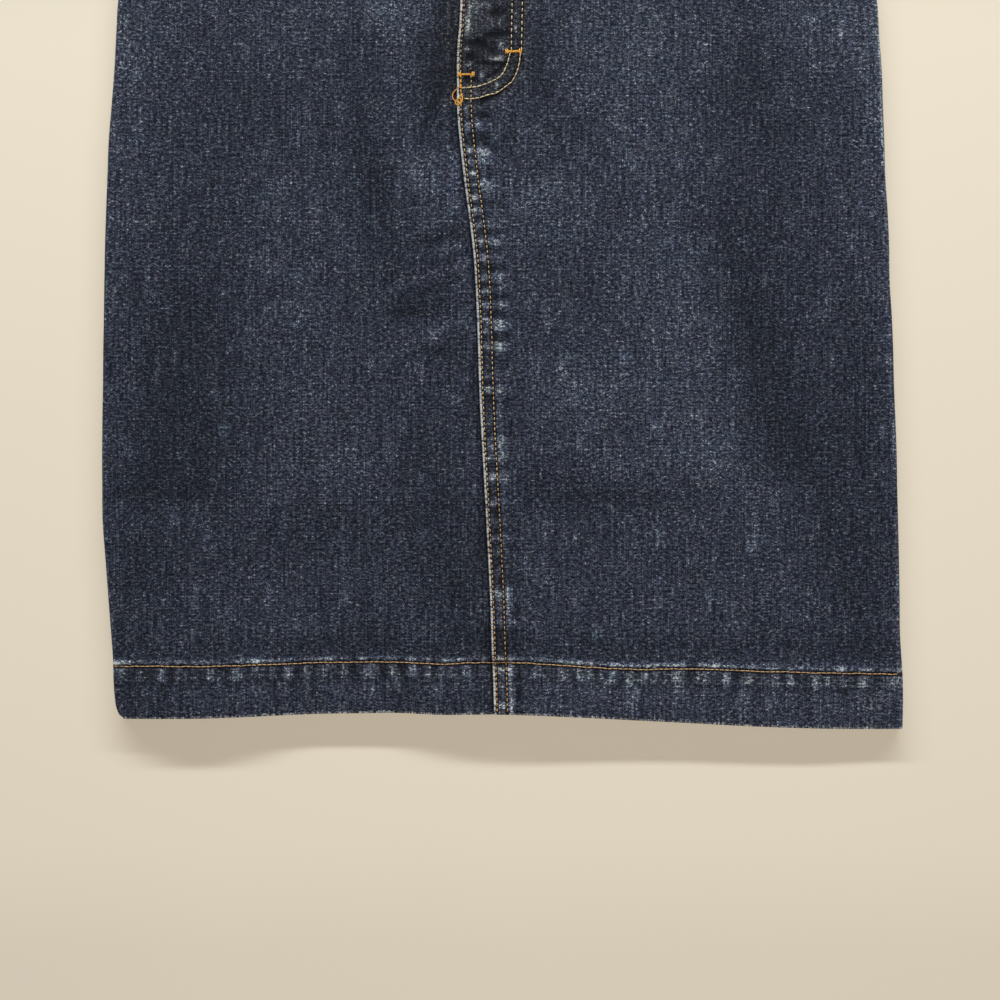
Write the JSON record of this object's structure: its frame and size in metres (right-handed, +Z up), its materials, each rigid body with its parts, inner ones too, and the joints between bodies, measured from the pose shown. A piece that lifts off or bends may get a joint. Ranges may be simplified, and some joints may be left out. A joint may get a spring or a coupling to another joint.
{
  "type": "denim skirt",
  "caption": "Straight knee-length denim skirt with a lapped centre front seam, fly, waistband and turned-up hem, lying flat and face up.",
  "frame": {"origin": "centre of the bounding box's base, on the surface that the skirt lies on", "axes": "+X to the viewer's right across the front, +Y from the hem to the waist, +Z up out of the front"},
  "size_m": [0.4963, 0.603, 0.0107],
  "materials": {
    "denim": "washed indigo twill, worn pale along its edges",
    "stitching": "golden brown sewing thread",
    "button_metal": "aged satin"
  },
  "bodies": {
    "root": {"front_right_panel": "denim", "front_left_panel": "denim", "back_right_panel": "denim", "back_left_panel": "denim", "waistband": "denim", "waist_button": "button_metal"}
  },
  "joints": []
}
